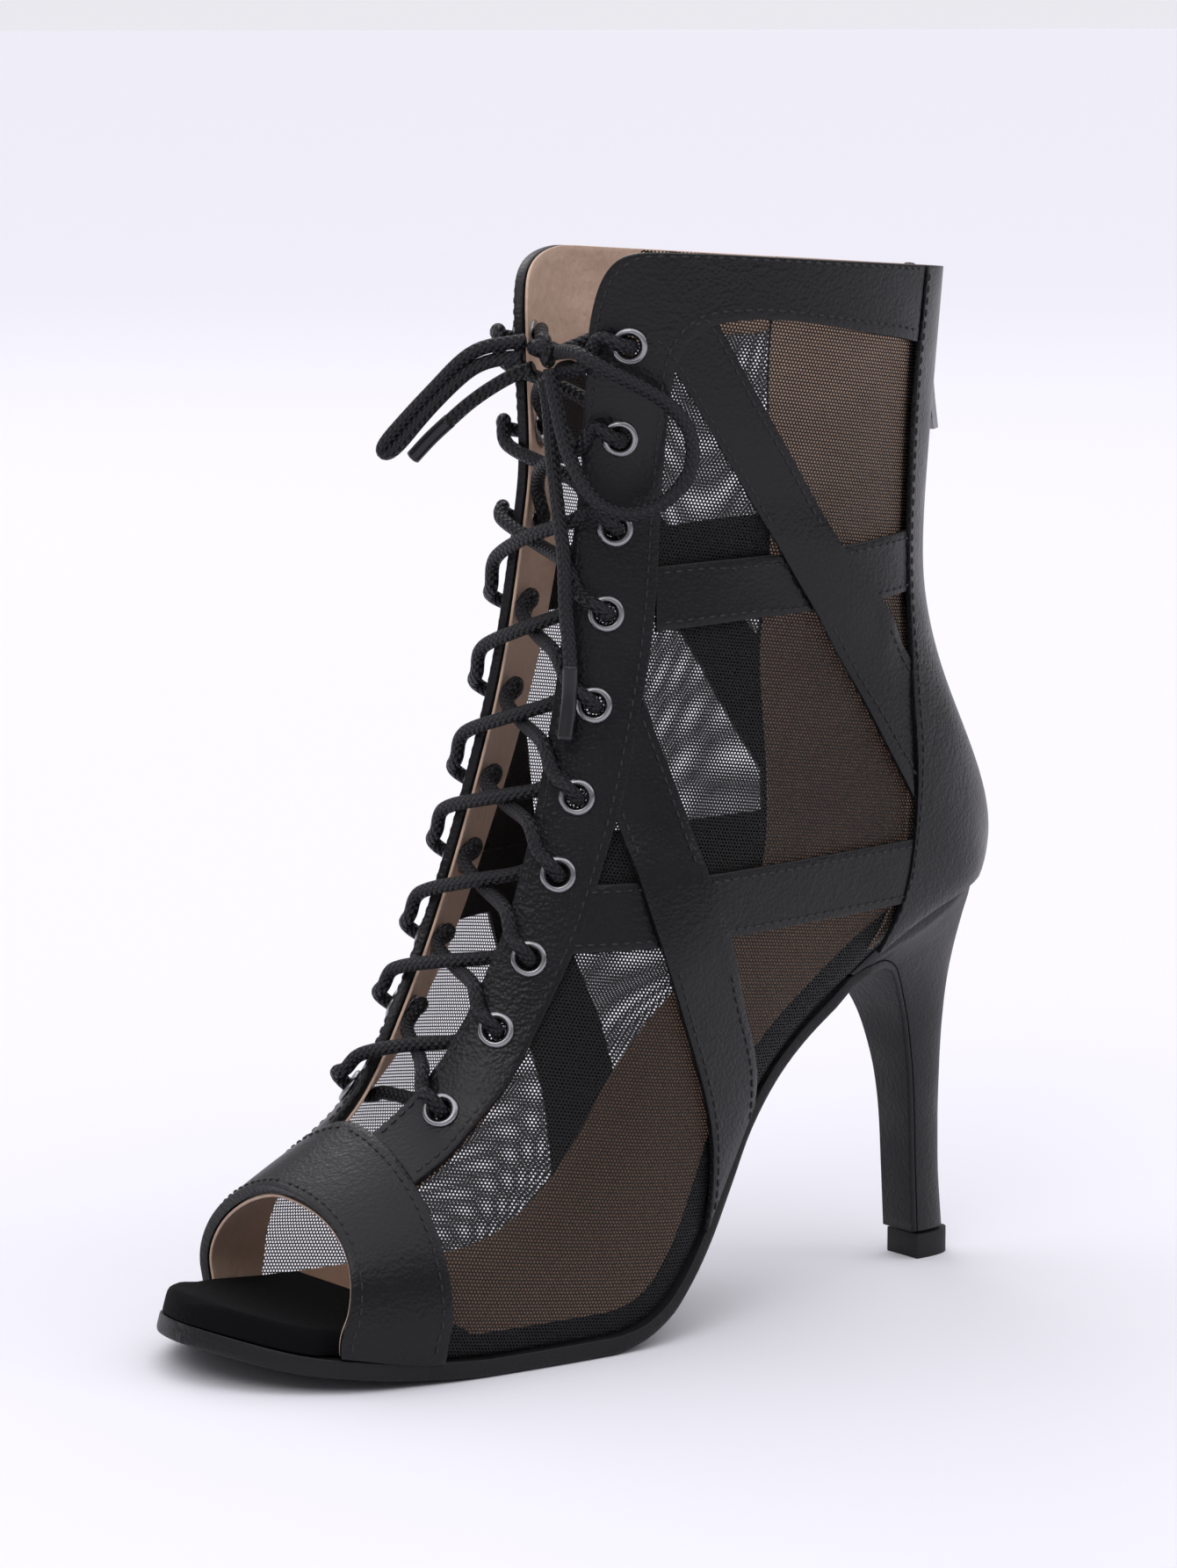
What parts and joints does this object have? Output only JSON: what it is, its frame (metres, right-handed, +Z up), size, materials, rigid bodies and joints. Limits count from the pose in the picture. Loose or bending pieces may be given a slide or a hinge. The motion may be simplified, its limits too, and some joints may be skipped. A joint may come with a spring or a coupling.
{
  "type": "latin dance ankle boot",
  "caption": "High-heeled open-toed ankle boot for latin dance: net upper with leather straps, front lacing and a back zip.",
  "frame": {"origin": "centre of the heel top piece's flat face, on the floor", "axes": "+Z up, toe along -X, outer side of the foot towards -Y"},
  "size_m": [0.2228, 0.0799, 0.2423],
  "materials": {
    "net": "matte open net",
    "suede": "matte nap",
    "sole": "matte",
    "heel_cover": "satin",
    "top_piece": "matte",
    "leather": "satin, fine grain",
    "dark_nickel": "satin",
    "tape": "matte woven",
    "waxed_lace": "waxed braid",
    "lace_sleeve": "gloss"
  },
  "bodies": {
    "boot": {"back_counter": "leather", "eyelet_inner_01": "dark_nickel", "eyelet_inner_02": "dark_nickel", "eyelet_inner_03": "dark_nickel", "eyelet_inner_04": "dark_nickel", "eyelet_inner_05": "dark_nickel", "eyelet_inner_06": "dark_nickel", "eyelet_inner_07": "dark_nickel", "eyelet_inner_08": "dark_nickel", "eyelet_inner_09": "dark_nickel", "eyelet_inner_10": "dark_nickel", "eyelet_outer_01": "dark_nickel", "eyelet_outer_02": "dark_nickel", "eyelet_outer_03": "dark_nickel", "eyelet_outer_04": "dark_nickel", "eyelet_outer_05": "dark_nickel", "eyelet_outer_06": "dark_nickel", "eyelet_outer_07": "dark_nickel", "eyelet_outer_08": "dark_nickel", "eyelet_outer_09": "dark_nickel", "eyelet_outer_10": "dark_nickel", "facing_inner": "leather", "facing_outer": "leather", "heel": "heel_cover", "heel_top_piece": "top_piece", "insole": "suede", "lace_bottom_bar": "waxed_lace", "lace_crossing_1": "waxed_lace", "lace_crossing_2": "waxed_lace", "lace_crossing_3": "waxed_lace", "lace_crossing_4": "waxed_lace", "lace_crossing_5": "waxed_lace", "lace_crossing_6": "waxed_lace", "lace_crossing_7": "waxed_lace", "lace_crossing_8": "waxed_lace", "lace_crossing_9": "waxed_lace", "lace_end_far": "waxed_lace", "lace_end_near": "waxed_lace", "lace_knot": "waxed_lace", "lace_loop_far": "waxed_lace", "lace_loop_near": "waxed_lace", "lace_tip_far": "lace_sleeve", "lace_tip_near": "lace_sleeve", "lower_bar_inner": "leather", "lower_bar_outer": "leather", "lower_diagonal_inner": "leather", "lower_diagonal_outer": "leather", "outsole": "sole", "toe_band": "leather", "upper": "net", "upper_bar_inner": "leather", "upper_bar_outer": "leather", "upper_diagonal_inner": "leather", "upper_diagonal_outer": "leather", "zip_slider": "dark_nickel", "zip_tape": "tape"},
    "zip_pull": {"zip_pull": "dark_nickel"}
  },
  "joints": [
    {"name": "pull_hinge", "type": "hinge", "parent": "boot", "child": "zip_pull", "pos_m": [-0.00283, 0, 0.22155], "axis": [0, -1, 0], "range_deg": [0, 150]}
  ]
}
